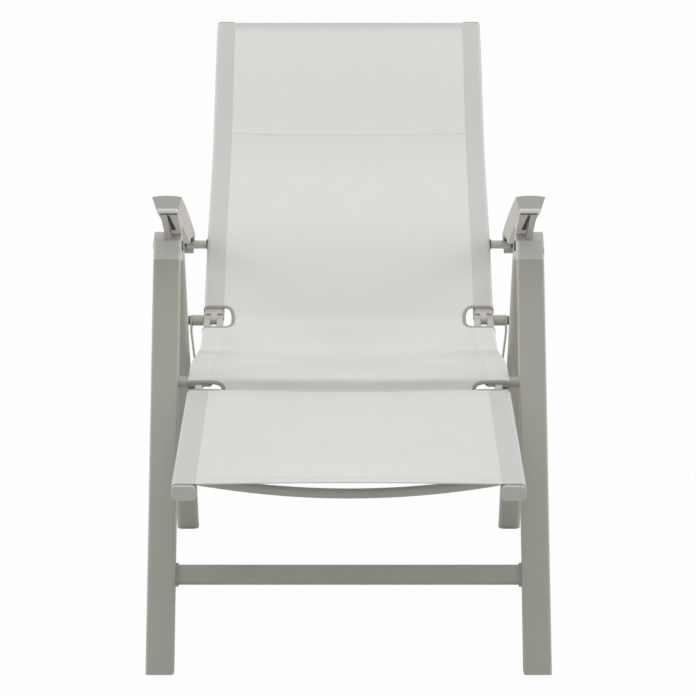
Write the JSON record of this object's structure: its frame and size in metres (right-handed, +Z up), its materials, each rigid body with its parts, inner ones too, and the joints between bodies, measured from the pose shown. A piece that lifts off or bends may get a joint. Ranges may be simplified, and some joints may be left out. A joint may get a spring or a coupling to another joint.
{
  "type": "reclining garden armchair",
  "caption": "Folding garden recliner with an adjustable back rest, a tilting leg rest, moulded armrests and a woven sling on a tubular frame.",
  "frame": {"origin": "on the floor under the centre of the whole chair's box", "axes": "+Z up, +Y from the leg rest towards the back rest, +X towards the sitter's left"},
  "size_m": [0.6094, 1.5634, 0.7863],
  "materials": {
    "frame_aluminium": "powder coated, satin",
    "cap_plastic": "fine satin grain",
    "hinge_plastic": "satin",
    "foot_plastic": "satin",
    "inner_plastic": "satin",
    "steel": "plain, slightly brushed",
    "ring_rubber": "matt",
    "sling_fabric": "coated yarn in a fine plain weave"
  },
  "bodies": {
    "front_frame": {"front_leg_left": "frame_aluminium", "front_leg_right": "frame_aluminium", "front_leg_cap_left": "cap_plastic", "front_leg_cap_right": "cap_plastic", "front_foot_left": "foot_plastic", "front_foot_right": "foot_plastic", "leg_joint_pins": "steel", "front_cross_bar": "frame_aluminium", "front_bar_brackets": "frame_aluminium", "seat_pivot_bolts": "steel", "seat_pivot_spacers": "frame_aluminium", "arm_pivot_pins": "steel"},
    "rear_frame": {"rear_leg_left": "frame_aluminium", "rear_leg_right": "frame_aluminium", "rear_leg_cap_left": "cap_plastic", "rear_leg_cap_right": "cap_plastic", "rear_foot_left": "foot_plastic", "rear_foot_right": "foot_plastic", "rear_cross_bar": "frame_aluminium", "link_inserts": "steel"},
    "seat": {"seat_rail_left": "frame_aluminium", "seat_rail_right": "frame_aluminium", "seat_front_hinges": "hinge_plastic", "seat_rear_hinges": "hinge_plastic", "seat_front_bar": "frame_aluminium", "seat_rear_bar": "frame_aluminium", "seat_sling": "sling_fabric", "seat_hem_cords": "inner_plastic", "back_hinge_bolts": "steel", "back_hinge_collars": "frame_aluminium", "back_hinge_nuts": "steel"},
    "link_left": {"link_left": "frame_aluminium", "link_bolt_left": "steel"},
    "link_right": {"link_right": "frame_aluminium", "link_bolt_right": "steel"},
    "back": {"back_rail_left": "frame_aluminium", "back_rail_right": "frame_aluminium", "back_hinges": "hinge_plastic", "back_top_bar": "frame_aluminium", "back_lower_bar": "frame_aluminium", "back_sling": "sling_fabric", "back_hem_cords": "inner_plastic", "back_rail_caps": "hinge_plastic", "arm_pins": "hinge_plastic", "arm_pin_rings": "ring_rubber"},
    "leg_rest": {"leg_rest_rail_left": "frame_aluminium", "leg_rest_rail_right": "frame_aluminium", "leg_rest_hinges": "hinge_plastic", "leg_rest_front_bar": "frame_aluminium", "leg_rest_rear_bar": "frame_aluminium", "leg_rest_sling": "sling_fabric", "leg_rest_hem_cords": "inner_plastic", "leg_rest_rail_caps": "hinge_plastic"},
    "armrest_left": {"armrest_left": "cap_plastic", "arm_rack_left": "inner_plastic", "arm_bushes_left": "inner_plastic"},
    "armrest_right": {"armrest_right": "cap_plastic", "arm_rack_right": "inner_plastic", "arm_bushes_right": "inner_plastic"}
  },
  "joints": [
    {"name": "leg_fold", "type": "hinge", "parent": "front_frame", "child": "rear_frame", "pos_m": [0, -0.20926, 0.572], "axis": [1, 0, 0], "range_deg": [-50, 0]},
    {"name": "seat_fold", "type": "hinge", "parent": "front_frame", "child": "seat", "pos_m": [0, -0.34204, 0.388], "axis": [1, 0, 0], "range_deg": [-71, 0]},
    {"name": "link_left_swing", "type": "hinge", "parent": "seat", "child": "link_left", "pos_m": [0, 0.12796, 0.368], "axis": [1, 0, 0], "range_deg": [-46, 0]},
    {"name": "link_right_swing", "type": "hinge", "parent": "seat", "child": "link_right", "pos_m": [0, 0.12796, 0.368], "axis": [1, 0, 0], "range_deg": [-46, 0]},
    {"name": "back_recline", "type": "hinge", "parent": "seat", "child": "back", "pos_m": [0, 0.12796, 0.368], "axis": [1, 0, 0], "range_deg": [0, 135]},
    {"name": "leg_rest_tilt", "type": "hinge", "parent": "seat", "child": "leg_rest", "pos_m": [0, -0.34204, 0.388], "axis": [1, 0, 0], "range_deg": [0, 45]},
    {"name": "arm_left_swing", "type": "hinge", "parent": "front_frame", "child": "armrest_left", "pos_m": [0, -0.22526, 0.622], "axis": [1, 0, 0], "range_deg": [0, 29]},
    {"name": "arm_right_swing", "type": "hinge", "parent": "front_frame", "child": "armrest_right", "pos_m": [0, -0.22526, 0.622], "axis": [1, 0, 0], "range_deg": [0, 29]}
  ],
  "couplings": [
    {"joint": "seat_fold", "follows": "leg_fold", "ratio": 1.4091},
    {"joint": "link_left_swing", "follows": "leg_fold", "ratio": 0.89609},
    {"joint": "link_right_swing", "follows": "leg_fold", "ratio": 0.89609},
    {"joint": "arm_left_swing", "follows": "back_recline", "ratio": 0.20999},
    {"joint": "arm_right_swing", "follows": "back_recline", "ratio": 0.20999}
  ]
}
